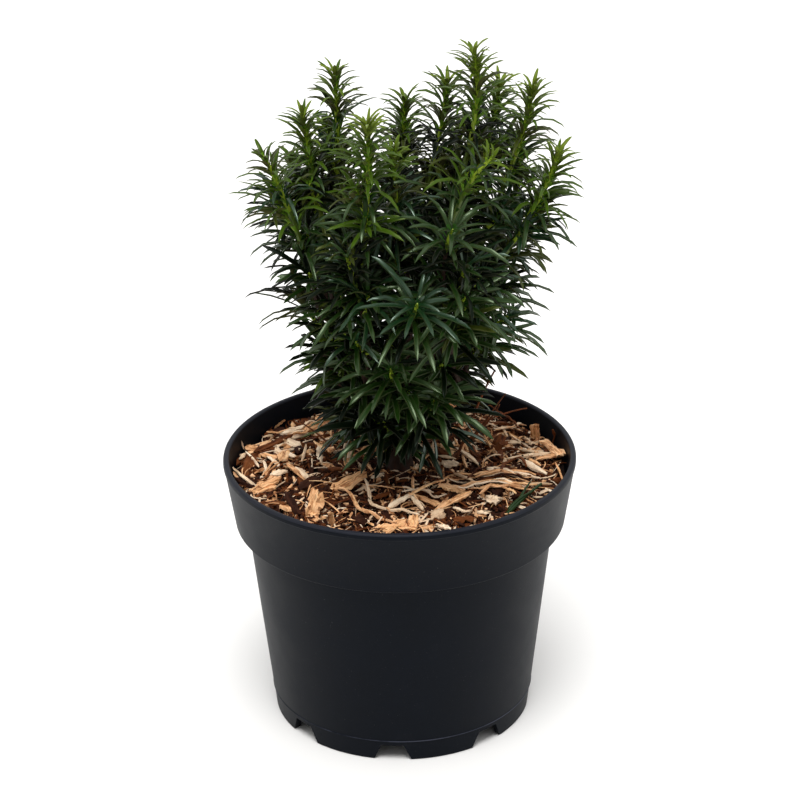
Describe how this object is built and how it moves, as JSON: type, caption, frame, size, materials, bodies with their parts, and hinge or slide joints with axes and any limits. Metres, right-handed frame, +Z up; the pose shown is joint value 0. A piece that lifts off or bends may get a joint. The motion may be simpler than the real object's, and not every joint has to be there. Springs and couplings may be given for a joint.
{
  "type": "potted english yew shrub",
  "caption": "Young evergreen yew shrub with upright shoots of flat dark needles, in a round plastic nursery pot topped with bark mulch.",
  "frame": {"origin": "centre of the pot's underside, on the level surface that it stands on", "axes": "+Z up along the pot's axis, -Y towards the front, +X to the right seen from the front"},
  "size_m": [0.19, 0.19, 0.3811],
  "materials": {
    "pot_plastic": "moulded charcoal plastic, satin, with fine vertical streaks",
    "bark_mulch": "coarse shredded bark, red-brown with paler splinters",
    "bark": "thin flaking red-brown bark",
    "foliage": "glossy dark green needles, yellow-green at the young tips"
  },
  "bodies": {
    "root": {"pot": "pot_plastic", "mulch": "bark_mulch", "trunk": "bark", "bough_front": "bark", "bough_front_left": "bark", "bough_left_front": "bark", "bough_left": "bark", "bough_back_left": "bark", "bough_back": "bark", "bough_back_right": "bark", "bough_right": "bark", "bough_right_front": "bark", "bough_front_right": "bark", "bough_centre": "bark", "foliage_left_back_spire": "foliage", "foliage_left_spire": "foliage", "foliage_left_outer_spire": "foliage", "foliage_left_rear_tuft": "foliage", "foliage_front_left_spire": "foliage", "foliage_centre_tuft": "foliage", "foliage_back_spire": "foliage", "foliage_centre_spire": "foliage", "foliage_top_spire": "foliage", "foliage_back_right_spire": "foliage", "foliage_right_spire": "foliage", "foliage_right_outer_spire": "foliage", "foliage_front_right_star": "foliage", "foliage_front_star": "foliage", "foliage_front_left_star": "foliage", "foliage_left_face_tuft": "foliage", "foliage_front_face_star": "foliage", "foliage_front_right_low_star": "foliage", "foliage_right_front_tuft": "foliage", "foliage_back_left_spire": "foliage", "foliage_back_outer_spire": "foliage", "foliage_back_right_tuft": "foliage", "foliage_right_rear_tuft": "foliage", "foliage_left_low_tuft": "foliage", "foliage_front_low_star": "foliage", "foliage_front_right_foot": "foliage", "foliage_front_left_foot": "foliage", "foliage_front_foot": "foliage", "foliage_left_front_foot": "foliage", "foliage_left_side_foot": "foliage", "foliage_right_front_foot": "foliage", "foliage_right_low_tuft": "foliage", "foliage_left_foot": "foliage", "foliage_right_foot": "foliage", "foliage_back_low_tuft": "foliage", "foliage_back_left_foot": "foliage", "foliage_back_right_foot": "foliage", "foliage_back_foot": "foliage"}
  },
  "joints": []
}
